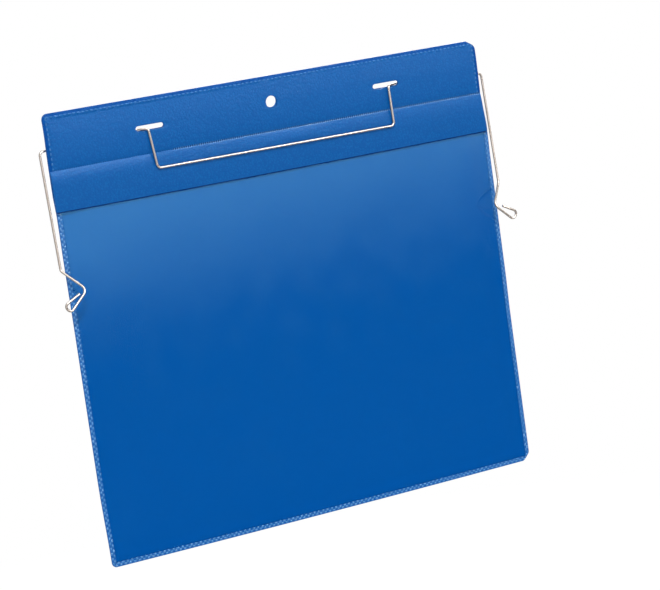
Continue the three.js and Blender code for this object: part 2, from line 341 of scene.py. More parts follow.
# %% [markdown]
# ## Grained blue sheet
# The sheets are calendered plastic with a fine leather grain, a satin sheen and hardly any colour change.
# A flat blue would look like paint. The grain is a field of small cells with finer noise over it, laid on
# the sheet's own flat places so that it folds with the flap. The sheen is a little cooler than white,
# because the pigment tints it. Where the clear film clings to the sheet, the sheet itself doesn't mirror:
# only the film's own face does, so that stretch has a finish of its own.

# %% Helpers for shader nodes
# Nearly all values of a noise texture lie between these two.
NOISE_RANGE = (0.3, 0.7)
# A Mix node has its two colours at these inputs, and the mixed one at this output.
COLOUR_A = 6
COLOUR_B = 7
COLOUR_MIXED = 2


def set_inputs(tree, node, inputs):
    """Sets a node's inputs, each to a plain value or to another node's output."""
    for name, value in inputs.items():
        if isinstance(value, bpy.types.NodeSocket):
            tree.links.new(value, node.inputs[name])
        else:
            node.inputs[name].default_value = value


def add_node(tree, kind, inputs=None, **settings):
    made = tree.nodes.new("ShaderNode" + kind)
    for name, value in settings.items():
        setattr(made, name, value)
    set_inputs(tree, made, inputs or {})
    return made


def new_finish(name):
    """A material with its node tree and its one Principled node."""
    material = bpy.data.materials.new(name)
    material.use_nodes = True
    tree = material.node_tree
    return material, tree, tree.nodes["Principled BSDF"]


def noise(tree, place, scale, detail):
    return add_node(tree, "TexNoise", {"Vector": place, "Scale": scale, "Detail": detail}).outputs["Fac"]


def combine(tree, operation, first, *others):
    """A chain of Math nodes that takes one value after the other."""
    for other in others:
        first = add_node(tree, "Math", {0: first, 1: other}, operation=operation).outputs[0]
    return first


def map_range(tree, value, source, target=(0.0, 1.0), easing="LINEAR"):
    """Carries a value from one range over to another, and holds it at the ends."""
    inputs = {"Value": value}
    inputs["From Min"], inputs["From Max"] = source
    inputs["To Min"], inputs["To Max"] = target
    return add_node(tree, "MapRange", inputs, interpolation_type=easing).outputs["Result"]


def blend_colours(tree, factor, first, second):
    inputs = {"Factor": factor, COLOUR_A: first, COLOUR_B: second}
    return add_node(tree, "Mix", inputs, data_type="RGBA").outputs[COLOUR_MIXED]


print("noise is read from", NOISE_RANGE[0], "to", NOISE_RANGE[1])

# %% The sheet's material
# Each pair is the blue of the sheet's face, and the deeper one of its pores.
SHEET_BLUES = ((0.0020, 0.121, 0.408, 1), (0.0012, 0.090, 0.345, 1))
COVERED_BLUES = ((0.0010, 0.098, 0.402, 1), (0.0008, 0.092, 0.386, 1))
SHEET_SHEEN = (0.78, 1.0, 0.96, 1)
SHEET_ROUGHNESS = (0.28, 0.36)
PATCH_SCALE = 28.0
CELL_SCALE = 700.0
PORE_SCALE = 1500.0
GRAIN_HEIGHTS = (0.55, 1.05)
PLASTIC_IOR = 1.5


def blue_sheet(name, blues, relief, gloss):
    """Blue plastic whose grain is relief deep, with a deeper blue in the grain's pores."""
    material, tree, surface = new_finish(name)
    flat = add_node(tree, "UVMap", uv_map="flat").outputs["UV"]
    patches = noise(tree, flat, PATCH_SCALE, 2.0)
    grain = {"Vector": flat, "Scale": CELL_SCALE, "Smoothness": 0.35, "Randomness": 0.9}
    cells = add_node(tree, "TexVoronoi", grain, feature="SMOOTH_F1").outputs["Distance"]
    height = combine(tree, "ADD", cells, noise(tree, flat, PORE_SCALE, 3.0))
    tone = map_range(tree, height, GRAIN_HEIGHTS)
    bump = add_node(tree, "Bump", {"Height": height, "Strength": 1.0, "Distance": relief})
    inputs = {
        "Base Color": blend_colours(tree, tone, *blues),
        "Roughness": map_range(tree, patches, NOISE_RANGE, SHEET_ROUGHNESS),
        "Normal": bump.outputs["Normal"],
        "Specular Tint": SHEET_SHEEN,
        "Specular IOR Level": gloss,
        "IOR": PLASTIC_IOR,
    }
    set_inputs(tree, surface, inputs)
    return material


grained_finish = blue_sheet("grained_blue_sheet", SHEET_BLUES, relief=0.08 * MM, gloss=0.2)
covered_finish = blue_sheet("covered_blue_sheet", COVERED_BLUES, relief=0.01 * MM, gloss=0.0)
print("made", grained_finish.name, "and", covered_finish.name)

# %% [markdown]
# ## Welded places
# Where the hot tool met the sheets, their colour changes, and some of these finishes also carry painted
# light. The raised beads of the knurl scatter light and are paler, partly as the fused plastic and partly
# as a painted highlight, and the same pale finish is a painted sheen between the pits of the crease. The
# raised dashes are paler as a painted highlight, and the margin along the header's welded edges is smooth
# and darker. The darkest finish is painted shade in the pits of the crease and a painted shadow along the
# lip of the hem. Paint could do it all on one material, but the beads are real little pyramids in the
# mesh, so each place simply gets its own finish.

# %% Beads and margins
# Each place is speckled with a pair of blues.
# The bead blues are paler partly as the fused plastic and partly as a painted highlight; between the
# crease pits they are a painted sheen.
BEAD_AND_SHEEN_BLUES = ((0.032, 0.185, 0.49, 1), (0.08, 0.25, 0.57, 1))
GROOVE_BLUES = ((0.004, 0.098, 0.38, 1), (0.018, 0.13, 0.43, 1))
# The dash blues are paler than the sheet as a painted highlight on the raised dashes.
DASH_HIGHLIGHT_BLUES = ((0.018, 0.145, 0.43, 1), (0.040, 0.180, 0.49, 1))
MARGIN_BLUES = ((0.0014, 0.080, 0.345, 1), (0.001, 0.062, 0.29, 1))
# The darkest blues are painted shade in the crease pits and a painted shadow along the lip of the hem.
PAINTED_SHADE_BLUES = ((0.0010, 0.028, 0.160, 1), (0.0008, 0.020, 0.125, 1))
WELD_SPECK_SCALE = 650.0
WELD_ROUGHNESS_SPREAD = 0.15


def welded_place(name, blues, rough, gloss):
    """Plastic speckled with two blues, for the welded places and for painted highlights, sheen and shade.
    """
    material, tree, surface = new_finish(name)
    specks = noise(tree, add_node(tree, "TexCoord").outputs["Object"], WELD_SPECK_SCALE, 2.0)
    inputs = {
        "Base Color": blend_colours(tree, map_range(tree, specks, NOISE_RANGE), *blues),
        "Roughness": map_range(tree, specks, NOISE_RANGE, (rough, rough + WELD_ROUGHNESS_SPREAD)),
        "Specular Tint": SHEET_SHEEN,
        "Specular IOR Level": gloss,
    }
    set_inputs(tree, surface, inputs)
    return material


# The bead finish also serves as painted sheen, the dash finish as a painted highlight, and the darkest
# one as painted shade and shadow.
bead_and_sheen_finish = welded_place("weld_beads_and_painted_sheen", BEAD_AND_SHEEN_BLUES, rough=0.12, gloss=0.5)
groove_finish = welded_place("weld_grooves", GROOVE_BLUES, rough=0.12, gloss=0.5)
dash_highlight_finish = welded_place("raised_dashes_painted_highlight", DASH_HIGHLIGHT_BLUES, rough=0.25, gloss=0.3)
margin_finish = welded_place("smooth_margin", MARGIN_BLUES, rough=0.3, gloss=0.08)
painted_shade_finish = welded_place("painted_shade_marks", PAINTED_SHADE_BLUES, rough=0.3, gloss=0.1)
weld_finishes = [bead_and_sheen_finish, groove_finish, dash_highlight_finish, margin_finish, painted_shade_finish]
print("made", [finish.name for finish in weld_finishes])

# %% [markdown]
# ## Back sheet
# One sheet runs from the top edge to the bottom. Its corners are rounded, but the two on the right were
# first cut straight, which the outline shows. Behind the window the sheet swells forward against the
# film, so the sheet is sliced where it leans, where it starts to swell inside the welds, and every few
# millimetres between.

# %% Cut the back sheet
BEND_STEP = 2 * MM
CROSS_STEP = 6 * MM
BACK_SWELL = 0.78 * MM
SWELL_FROM_Z = -22 * MM
# The back sheet's finish at place 0 is the grained one, and this is the place of the other.
COVERED = 1


def inside_welds(x, z):
    """0 in the side and bottom welds, and 1 past the stretch where the sheets part from each other."""
    return min(step(abs(x), WELD_X, RISE_X), step(z, WELD_Z, RISE_Z))


def slice_inside_welds(bm):
    for side in (-1, 1):
        slice_lines(bm, X_AXIS, [side * place for place in even_lines(RISE_X, WELD_X, BEND_STEP)])
    slice_lines(bm, Z_AXIS, even_lines(WELD_Z, RISE_Z, BEND_STEP))


def back_sheet():
    bm = rectangle(-HALF_WIDTH, HALF_WIDTH, BOTTOM_Z, TOP_Z)
    trim_top(bm)
    trim_bottom(bm)
    punch_header(bm, BACK_SLIP)
    fill_between(bm)
    slice_lines(bm, X_AXIS, even_lines(-RISE_X, RISE_X, 2 * CROSS_STEP))
    slice_lines(bm, Z_AXIS, even_lines(MOUTH_Z, TOP_Z - BEND_STEP, BEND_STEP))
    slice_lines(bm, Z_AXIS, even_lines(RISE_Z, MOUTH_Z, 2 * CROSS_STEP)[:-1])
    slice_inside_welds(bm)
    keep_flat_places(bm)
    for vert in bm.verts:
        x, z = vert.co.x, vert.co.z
        vert.co.y = -BACK_SWELL * inside_welds(x, z) * step(z, SWELL_FROM_Z, MOUTH_Z)
    thicken(bm, BACK_THICKNESS, RIM)
    for face in bm.faces:
        if face.normal.y < 0 and face.calc_center_median().z < MOUTH_Z:
            face.material_index = COVERED
    settle(bm)
    piece = finished(bm, "grained_back_sheet", grained_finish, covered_finish)
    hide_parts("back_sheet")
    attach(piece, "pocket")


back_sheet()

# %% [markdown]
# ## Header and rain flap
# In the real pocket these are one sheet with a pressed crease, so here they are one mesh that stands for
# both imported nodes. It could be two pieces with a gap, as the solids are, but then the fold would tear
# when the flap lifts. The sheet is drawn flat first: the dashed welds and the crease are sliced into it
# as strips and pressed in, and the raised dashes get a painted highlight. The crease gets its row of
# small pits, with painted shade in the pits and a painted sheen on the sheet between them, and the lip of
# the hem gets a painted shadow. Then it is bent to the imported shape.

# %% Shape of the header sheet
CREASE_Z = (facing_low.z + flap_high.z) / 2
HEM_Z = flap_low.z
FACING_FRONT_Y = -FACING_THICKNESS
CREASE_FRONT_Y = facing_low.y
HEM_FRONT_Y = flap_low.y
TOP_WELD_Z = TOP_Z - 6 * MM
HEADER_SWELL = 0.4 * MM
# A curve of down * down * (1 - down) peaks at 4 / 27, and this brings its peak up to 1.
SWELL_PEAK = 27 / 4
FLAP_BEND = 15 * MM
FLAP_BULGE = 2.0
FLAP_BULGE_LEFT = 3.4
FLAP_BULGE_MIDDLE = 3.8
LEFT_BULGE_X = (-80 * MM, -88 * MM)
MIDDLE_BULGE_X = 14 * MM
MIDDLE_BULGE_HALF = 36 * MM
HEM_BOW = 0.4 * MM
HEM_TUCK = 0.25 * MM
HEM_TUCK_HEIGHT = 6 * MM
HEM_LIP = 0.7 * MM
HEM_CORNER_RADIUS = 1 * MM
DASH_PITCH = 3.0 * MM
DASH_TOP = 1.9 * MM
DASH_BOTTOM = 2.7 * MM
DASH_RELIEF = 0.12 * MM
DASH_SLOPE = 0.1 * MM
CREASE_HALF_WIDTH = 0.9 * MM
CREASE_TOP = CREASE_Z + CREASE_HALF_WIDTH
CREASE_FOOT = CREASE_Z - CREASE_HALF_WIDTH
CREASE_ROW = 0.15 * MM
CREASE_DEPTH = 0.06 * MM
PIT_PITCH = 1.5 * MM
PIT_Z = CREASE_Z + 0.35 * MM
PIT_HALF_HEIGHT = 0.6 * MM
PIT_DEPTH = 0.25 * MM
# Left of this place the crease gets no painted shade in its pits and no painted sheen between them:
# there it keeps the colour of the sheet.
PITS_DARK_FROM_X = -72 * MM
# The places of the header's finishes, after the grained one at 0.
# The raised dashes, with a painted highlight.
DASHES = 1
MARGIN = 2
# Painted shade in the crease pits, and a painted shadow along the lip of the hem.
PAINTED_SHADE = 3
# A painted sheen on the sheet between the crease pits.
PAINTED_SHEEN = 4


def flap_bulge(x):
    """How sharply the flap rounds over the crease: more at the left end, and just right of the middle."""
    left = (FLAP_BULGE_LEFT - FLAP_BULGE) * step(x, *LEFT_BULGE_X)
    near_middle = smooth_share(1 - abs(x - MIDDLE_BULGE_X) / MIDDLE_BULGE_HALF)
    return FLAP_BULGE + left + (FLAP_BULGE_MIDDLE - FLAP_BULGE) * near_middle


def facing_front(x, z):
    """How far forward the sheet's front face stands at a place."""
    if z >= CREASE_Z:
        down = max(TOP_WELD_Z - z, 0) / (TOP_WELD_Z - CREASE_Z)
        swell = HEADER_SWELL * SWELL_PEAK * down * down * (1 - down)
        return FACING_FRONT_Y + (CREASE_FRONT_Y - FACING_FRONT_Y) * smooth_share(down) - swell
    down = min((CREASE_Z - z) / FLAP_BEND, 1.0)
    front = CREASE_FRONT_Y + (HEM_FRONT_Y - CREASE_FRONT_Y) * (1 - (1 - down) ** flap_bulge(x))
    return front + HEM_TUCK * step(z, HEM_Z + HEM_TUCK_HEIGHT, HEM_Z)


def in_crease(co):
    return abs(co.z - CREASE_Z) < CREASE_HALF_WIDTH


def pit_share(x, z):
    """1 in the middle of each pressed pit of the crease, and 0 between the pits."""
    across = max(0.0, cos(2 * pi * x / PIT_PITCH))
    return across * max(0.0, 1 - abs(z - PIT_Z) / PIT_HALF_HEIGHT)


def in_pit_row(co):
    return co.x > PITS_DARK_FROM_X and abs(co.z - PIT_Z) < PIT_HALF_HEIGHT


def edge_margin(co):
    """How far in from the header's welded top or side edge a place lies."""
    return min(TOP_Z - co.z, HALF_WIDTH - abs(co.x))


def in_dash_row(co):
    return co.z > CREASE_Z and DASH_TOP < edge_margin(co) < DASH_BOTTOM


def in_top_dash_row(co):
    return in_dash_row(co) and co.z > TOP_WELD_Z


def in_side_dash_row(co):
    return in_dash_row(co) and TOP_Z - co.z > DASH_BOTTOM


def pitch_lines(half_length, pitch):
    """Places a quarter of the pitch apart, counted from the middle so that every mark is cut alike."""
    count = int(half_length / (pitch / 4))
    return [i * pitch / 4 for i in range(-count, count + 1)]


print("the flap reaches", round((CREASE_Z - HEM_Z) / MM, 1), "mm below the crease")


# %% Cut, press and bend the header sheet
def slice_header(bm):
    """Slices the bends, the crease, the hem and the dashed welds into the flat sheet."""
    slice_lines(bm, X_AXIS, even_lines(-HALF_WIDTH, HALF_WIDTH, CROSS_STEP)[1:-1])
    for row in (DASH_TOP, DASH_BOTTOM):
        slice_lines(bm, X_AXIS, [HALF_WIDTH - row, row - HALF_WIDTH])
        slice_lines(bm, Z_AXIS, [TOP_Z - row])
    slice_lines(bm, Z_AXIS, even_lines(TOP_WELD_Z, TOP_Z - DASH_BOTTOM, BEND_STEP)[:-1])
    slice_lines(bm, Z_AXIS, even_lines(CREASE_TOP, TOP_WELD_Z, BEND_STEP / 2)[:-1])
    slice_lines(bm, Z_AXIS, even_lines(CREASE_FOOT, CREASE_TOP, CREASE_ROW))
    slice_lines(bm, Z_AXIS, even_lines(CREASE_Z - FLAP_BEND, CREASE_FOOT, BEND_STEP / 2)[:-1])
    slice_lines(bm, Z_AXIS, even_lines(HEM_Z, HEM_Z + HEM_TUCK_HEIGHT, BEND_STEP)[1:])
    slice_lines(bm, Z_AXIS, [HEM_Z + HEM_LIP])
    slice_lines(bm, X_AXIS, pitch_lines(HALF_WIDTH, PIT_PITCH), in_crease)
    slice_lines(bm, X_AXIS, pitch_lines(HALF_WIDTH, DASH_PITCH), in_top_dash_row)
    slice_lines(bm, Z_AXIS, pitch_lines(TOP_Z, DASH_PITCH), in_side_dash_row)


def choose_finishes(bm):
    """Marks the welded margin, the pits' painted shade and sheen, and the painted shadow on the hem's
    lip.
    """
    for face in bm.faces:
        middle = face.calc_center_median()
        if middle.z > CREASE_Z and edge_margin(middle) < DASH_TOP:
            face.material_index = MARGIN
        # In the pit row the pits get painted shade, and the sheet between them a painted sheen.
        if in_pit_row(middle):
            face.material_index = PAINTED_SHADE if pit_share(middle.x, middle.z) > 0 else PAINTED_SHEEN
        # The lip of the hem gets a painted shadow.
        if middle.z < HEM_Z + HEM_LIP:
            face.material_index = PAINTED_SHADE


def bend_header(bm):
    """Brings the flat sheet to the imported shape, with its crease, its pits and its bowed hem."""
    for vert in bm.verts:
        x, z = vert.co.x, vert.co.z
        vert.co.y = facing_front(x, z) + PIT_DEPTH * pit_share(x, z)
        vert.co.y += CREASE_DEPTH * max(0.0, 1 - abs(z - CREASE_Z) / CREASE_HALF_WIDTH)
        vert.co.z -= HEM_BOW * step(z, CREASE_Z, HEM_Z) * (1 - (x / HALF_WIDTH) ** 2)


def press_dashes(bm):
    """Raises every other stretch of the dash row, with a small slope round each, and a painted highlight.
    """
    dashes = []
    for face in bm.faces:
        middle = face.calc_center_median()
        along = middle.x if TOP_Z - middle.z < DASH_BOTTOM else middle.z
        if in_dash_row(middle) and (along / DASH_PITCH) % 1 < 0.5:
            face.material_index = DASHES
            dashes.append(face)
    bmesh.ops.inset_individual(bm, faces=dashes, thickness=DASH_SLOPE, depth=0)
    tops = {vert for face in dashes for vert in face.verts}
    bmesh.ops.translate(bm, vec=-Y_AXIS * DASH_RELIEF, verts=list(tops))
    print("dashes in the header's welds:", len(dashes))


def header_sheet():
    bm = rectangle(-HALF_WIDTH, HALF_WIDTH, HEM_Z, TOP_Z)
    trim_top(bm)
    round_corners(bm, HEM_CORNER_RADIUS, lambda co: co.z < HEM_Z + SNAP)
    punch_header(bm, FRONT_SLIP)
    fill_between(bm)
    slice_header(bm)
    keep_flat_places(bm)
    choose_finishes(bm)
    bend_header(bm)
    press_dashes(bm)
    thicken(bm, FACING_THICKNESS, RIM)
    settle(bm, FLAP_LEFT_EDGE, FLAP_RIGHT_EDGE)
    finishes = [grained_finish, dash_highlight_finish, margin_finish, painted_shade_finish, bead_and_sheen_finish]
    piece = finished(bm, "header_and_rain_flap", *finishes)
    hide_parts("header_facing", "rain_flap")
    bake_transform(piece)


header_sheet()

# %% [markdown]
# ## Window film
# The film is clear, glossy and 0.3 mm thick. It lies flat in the welds and rises a millimetre inside
# them. Clear film over a sheet needs care in a ray tracer: light has to get through it to the sheet
# below. A thin coat on the sheet could stand in for it, but the film stands off the sheet. So rays
# towards the lamps pass straight through, and only what the eye sees is refracted. The welds are knurled
# where the hot tool pressed the film into the sheet, and there film and sheet are one, so that band has
# opaque finishes of its own.

# %% The film's material
FILM_TINT = (0.95, 0.98, 1.0, 1)
FILM_SHEEN = (0.31, 0.82, 1.0, 1)
FILM_ROUGHNESS = (0.05, 0.09)
WAVE_SCALE = 14.0
HAZE_SCALE = 60.0


def show_both(tree, share, first, second):
    """Shows the first shader, and the second one by its share."""
    both = add_node(tree, "MixShader", {0: share, 1: first, 2: second})
    set_inputs(tree, tree.nodes["Material Output"], {"Surface": both.outputs[0]})


def clear_film():
    """Film that refracts what the eye sees, and is open to the rays that carry light to the sheet."""
    material, tree, surface = new_finish("clear_window_film")
    place = add_node(tree, "TexCoord").outputs["Object"]
    waves = noise(tree, place, WAVE_SCALE, 1.0)
    haze = noise(tree, place, HAZE_SCALE, 3.0)
    bump = add_node(tree, "Bump", {"Height": waves, "Strength": 0.3, "Distance": 0.3 * MM})
    inputs = {
        "Base Color": FILM_TINT,
        "Roughness": map_range(tree, haze, NOISE_RANGE, FILM_ROUGHNESS),
        "Normal": bump.outputs["Normal"],
        "Transmission Weight": 1.0,
        "Specular Tint": FILM_SHEEN,
        "IOR": PLASTIC_IOR,
    }
    set_inputs(tree, surface, inputs)
    path = add_node(tree, "LightPath").outputs
    passing = combine(tree, "MAXIMUM", path["Is Shadow Ray"], path["Is Diffuse Ray"])
    open_way = add_node(tree, "BsdfTransparent").outputs[0]
    show_both(tree, passing, surface.outputs[0], open_way)
    return material


film_finish = clear_film()
print("made", film_finish.name)

# %% Form the film and knurl its welds
FILM_THICKNESS = 0.3 * MM
PAPER_ROOM = -film_low.y - FILM_THICKNESS
FILM_LIFT = 0.02 * MM
FILM_STEP = 10 * MM
KNURL_OUTER = 0.3 * MM
KNURL_INNER = 2.9 * MM
KNURL_MIDDLE = (KNURL_OUTER + KNURL_INNER) / 2
KNURL_PITCH = 1.6 * MM
KNURL_RELIEF = 0.15 * MM
FACES_FRONT = -0.99
# The places of the film's finishes, after the clear one at 0.
BEADS = 1
GROOVES = 2


def from_edge(co):
    """How far in from the pocket's side or bottom edge a place lies."""
    return min(HALF_WIDTH - abs(co.x), co.z - BOTTOM_Z)


def in_side_weld(co):
    return abs(co.x) > WELD_X


def in_foot_weld(co):
    return co.z < WELD_Z


def is_bead(co):
    """Every other cell of the knurl is a bead, and the two rows are set half a step apart."""
    along = co.z if HALF_WIDTH - abs(co.x) < co.z - BOTTOM_Z else co.x
    row = from_edge(co) > KNURL_MIDDLE
    return (int(along // KNURL_PITCH) + row) % 2 == 0


def window_film():
    bm = rectangle(-HALF_WIDTH, HALF_WIDTH, BOTTOM_Z, MOUTH_Z)
    trim_bottom(bm)
    for row in (KNURL_OUTER, KNURL_MIDDLE, KNURL_INNER):
        slice_lines(bm, X_AXIS, [HALF_WIDTH - row, row - HALF_WIDTH])
        slice_lines(bm, Z_AXIS, [BOTTOM_Z + row])
    slice_inside_welds(bm)
    slice_lines(bm, Z_AXIS, even_lines(RISE_Z, MOUTH_Z, FILM_STEP)[:-1])
    slice_lines(bm, X_AXIS, even_lines(-RISE_X, RISE_X, FILM_STEP))
    down = int(BOTTOM_Z // KNURL_PITCH)
    across = int(HALF_WIDTH // KNURL_PITCH)
    slice_lines(bm, Z_AXIS, [i * KNURL_PITCH for i in range(down, 0)], in_side_weld)
    slice_lines(bm, X_AXIS, [i * KNURL_PITCH for i in range(-across, across + 1)], in_foot_weld)
    keep_flat_places(bm)
    for vert in bm.verts:
        rise = FILM_LIFT + PAPER_ROOM * inside_welds(vert.co.x, vert.co.z)
        vert.co.y = -rise - FILM_THICKNESS
    thicken(bm, FILM_THICKNESS, RIM / 2)
    # The raised beads get the pale finish: partly the fused plastic, partly a painted highlight.
    beads = []
    for face in bm.faces:
        middle = face.calc_center_median()
        edge = from_edge(middle)
        raised = edge > KNURL_OUTER and face.normal.y < FACES_FRONT and is_bead(middle)
        if edge < KNURL_INNER:
            face.material_index = BEADS if raised else GROOVES
            if raised:
                beads.append(face)
    bmesh.ops.poke(bm, faces=beads, offset=KNURL_RELIEF, center_mode="MEAN")
    print("beads in the film's welds:", len(beads))
    settle(bm)
    piece = finished(bm, "window_film_sheet", film_finish, bead_and_sheen_finish, groove_finish)
    for polygon in piece.data.polygons:
        polygon.use_smooth = polygon.material_index != BEADS
    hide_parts("window_film", "left_film_edge", "right_film_edge", "bottom_film_edge")
    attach(piece, "pocket")


window_film()

# %% [markdown]
# ## Wire hanger
# One length of drawn steel wire is bent eight times on each side of the middle of its front bar. It could
# be a curve with a round bevel, but a curve rounds every corner in its own way. Here a ring of vertices
# is pushed along each straight and spun round each bend, just as a bending machine feeds and turns the
# wire. One half is made and then mirrored.

# %% The wire's steel
STEEL = (0.53, 0.47, 0.42, 1)
STEEL_DULL = (0.41, 0.35, 0.31, 1)
STEEL_ROUGHNESS = (0.24, 0.38)
STEEL_SPECK_SCALE = 900.0
DULLING_SCALE = 90.0


def drawn_wire():
    """Drawn steel that is a little duller and rougher in patches, with fine specks."""
    material, tree, surface = new_finish("drawn_steel_wire")
    place = add_node(tree, "TexCoord").outputs["Object"]
    specks = noise(tree, place, STEEL_SPECK_SCALE, 3.0)
    dulling = noise(tree, place, DULLING_SCALE, 2.0)
    bump = add_node(tree, "Bump", {"Height": specks, "Strength": 0.25, "Distance": 0.03 * MM})
    inputs = {
        "Base Color": blend_colours(tree, dulling, STEEL, STEEL_DULL),
        "Roughness": map_range(tree, dulling, NOISE_RANGE, STEEL_ROUGHNESS),
        "Normal": bump.outputs["Normal"],
        "Metallic": 1.0,
    }
    set_inputs(tree, surface, inputs)
    return material


wire_finish = drawn_wire()
print("made", wire_finish.name)

# %% The wire's bends
# Each bend is a corner of the wire's middle line, in mm, and the radius that it is rounded to.
WIRE_RADIUS = 0.75 * MM
WIRE_SIDES = 20
WIRE_BENDS = [
    ((84.7, -3.25, -27.9), 2.5),
    ((86.6, -2.45, -3.2), 1.6),
    ((93.0, 1.55, -2.8), 2.5),
    ((159.05, 2.65, -6.1), 2.5),
    ((159.05, -1.55, -78.4), 2.5),
    ((147.95, -10.65, -91.3), 4.2),
    ((160.85, -11.15, -103.2), 2.4),
    ((164.75, -11.15, -98.5), 2.4),
]
WIRE_TIP = (153.55, -11.55, -92.8)
WIRE_END_BREAK = 0.15 * MM
BEND_TURN = radians(9)
# The askew seat is full up to the first of these distances past the leg, and gone at the second.
ASKEW_FULL = 1 * MM
ASKEW_GONE = 11 * MM
BAR_DROP = 0.95 * MM
LEG_SLIDE_TOP = -1.3 * MM
LEG_SLIDE_FOOT = -0.25 * MM
BAR_STRETCH = 0.6 * MM
ARM_SPLAY = 0.35 * MM
ARM_SPLAY_X = (120 * MM, 155 * MM)
ARM_SPLAY_Z = (-88 * MM, -64 * MM)
print("bends in the wire:", 2 * len(WIRE_BENDS))


# %% Feed and bend the wire
def split_ring(geom):
    verts = [part for part in geom if isinstance(part, bmesh.types.BMVert)]
    edges = [part for part in geom if isinstance(part, bmesh.types.BMEdge)]
    return verts, edges


def feed(bm, edges, move):
    """Pushes the end ring of the wire straight on, and returns the new end ring's edges."""
    verts, ring = split_ring(bmesh.ops.extrude_edge_only(bm, edges=edges)["geom"])
    end = [edge for edge in ring if all(vert in verts for vert in edge.verts)]
    bmesh.ops.translate(bm, vec=move, verts=verts)
    return end


def turn(bm, edges, start, arriving, leaving, radius):
    """Spins the end ring round a bend, and returns the new end ring's edges."""
    inward = (leaving - arriving * leaving.dot(arriving)).normalized()
    angle = arriving.angle(leaving)
    verts = list({vert for edge in edges for vert in edge.verts})
    made = bmesh.ops.spin(
        bm,
        geom=verts + edges,
        cent=start + inward * radius,
        axis=arriving.cross(inward),
        angle=angle,
        steps=max(2, round(angle / BEND_TURN)),
        use_duplicate=False,
    )
    return split_ring(made["geom_last"])[1]


def seat_askew(bm):
    """Sets the bar and its legs askew in the slots, and spreads the arms, as in a hand-bent wire."""
    foot = Vector(WIRE_BENDS[0][0]) * MM
    leg_top = Vector(WIRE_BENDS[1][0]) * MM
    for vert in bm.verts:
        share = step(abs(vert.co.x) - leg_top.x, ASKEW_GONE, ASKEW_FULL)
        down = step(vert.co.z, leg_top.z, foot.z)
        side = vert.co.x / foot.x
        slide = LEG_SLIDE_TOP + (LEG_SLIDE_FOOT + BAR_STRETCH * side - LEG_SLIDE_TOP) * down
        vert.co.x += share * slide
        vert.co.z -= share * down * BAR_DROP * (1 + side) / 2
        splay = ARM_SPLAY * step(abs(vert.co.x), *ARM_SPLAY_X) * step(vert.co.z, *ARM_SPLAY_Z)
        vert.co.x += copysign(splay, vert.co.x)


def steel_wire():
    bm = bmesh.new()
    bmesh.ops.create_circle(bm, segments=WIRE_SIDES, radius=WIRE_RADIUS, cap_ends=False)
    corners = [Vector(corner) * MM for corner, radius in WIRE_BENDS]
    radii = [radius * MM for corner, radius in WIRE_BENDS]
    tip = Vector(WIRE_TIP) * MM
    here = Vector((0, corners[0].y, corners[0].z))
    face_x = Matrix.Rotation(radians(90), 4, "Y")
    bmesh.ops.transform(bm, matrix=Matrix.Translation(here) @ face_x, verts=bm.verts)
    end = bm.edges[:]
    length = 0.0
    for corner, after, radius in zip(corners, [*corners[1:], tip], radii):
        arriving = (corner - here).normalized()
        leaving = (after - corner).normalized()
        angle = arriving.angle(leaving)
        tangent = radius * sin(angle / 2) / cos(angle / 2)
        start = corner - arriving * tangent
        end = feed(bm, end, start - here)
        end = turn(bm, end, start, arriving, leaving, radius)
        length += (start - here).length + radius * angle
        here = corner + leaving * tangent
    end = feed(bm, end, tip - here)
    length += (tip - here).length
    bmesh.ops.edgeloop_fill(bm, edges=end)
    bevel(bm, end, WIRE_END_BREAK, "EDGES", RIM_SEGMENTS)
    bmesh.ops.mirror(bm, geom=[*bm.verts, *bm.edges, *bm.faces], merge_dist=10 * SNAP, axis="X")
    bmesh.ops.recalc_face_normals(bm, faces=bm.faces)
    seat_askew(bm)
    print("wire length:", round(2 * length / MM), "mm")
    piece = finished(bm, "bent_wire_hanger", wire_finish)
    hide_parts("wire_hanger")
    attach(piece, "hanger")


steel_wire()

# %% [markdown]
# ## Studio
# A catalogue picture has a white surround. The part is lit by one soft key from the upper left, a weaker
# soft lamp behind it and even light from everywhere else. The white comes from what the camera's own rays
# see. Mirrored rays see a room of their own: a strip that fades out downwards gives the film its soft
# fade from top to bottom, a wall and a softbox above it light the rounded crease, and pale sides keep the
# wire bright. It could be built from cards, but a sky that answers each kind of ray is simpler. The floor
# is pale and keeps the part's shadow near its middle, and turns into the white surround further out.

# %% Floor
FLOOR_Z = -0.6
FLOOR_RADIUS = 2.4
FLOOR_SEGMENTS = 96
FLOOR_COLOUR = (0.86, 0.86, 0.86, 1)
FLOOR_ROUGHNESS = 0.9
WHITE = (1, 1, 1, 1)
# How white the floor looks by itself, and the distances from its middle where that starts and is full.
FLOOR_WHITENESS = (0.72, 1.0)
FLOOR_WHITENING = (0.75, 1.7)


def pale_floor():
    material, tree, surface = new_finish("pale_floor")
    set_inputs(tree, surface, {"Base Color": FLOOR_COLOUR, "Roughness": FLOOR_ROUGHNESS})
    path = add_node(tree, "LightPath").outputs
    rays = [path["Is Camera Ray"], path["Is Glossy Ray"], path["Is Transmission Ray"]]
    seen = combine(tree, "MAXIMUM", *rays)
    place = add_node(tree, "TexCoord").outputs["Object"]
    away = add_node(tree, "VectorMath", {0: place}, operation="LENGTH").outputs["Value"]
    share = combine(tree, "MULTIPLY", seen, map_range(tree, away, FLOOR_WHITENING, FLOOR_WHITENESS))
    white = add_node(tree, "Emission", {"Color": WHITE, "Strength": 1.0}).outputs[0]
    show_both(tree, share, surface.outputs[0], white)
    return material


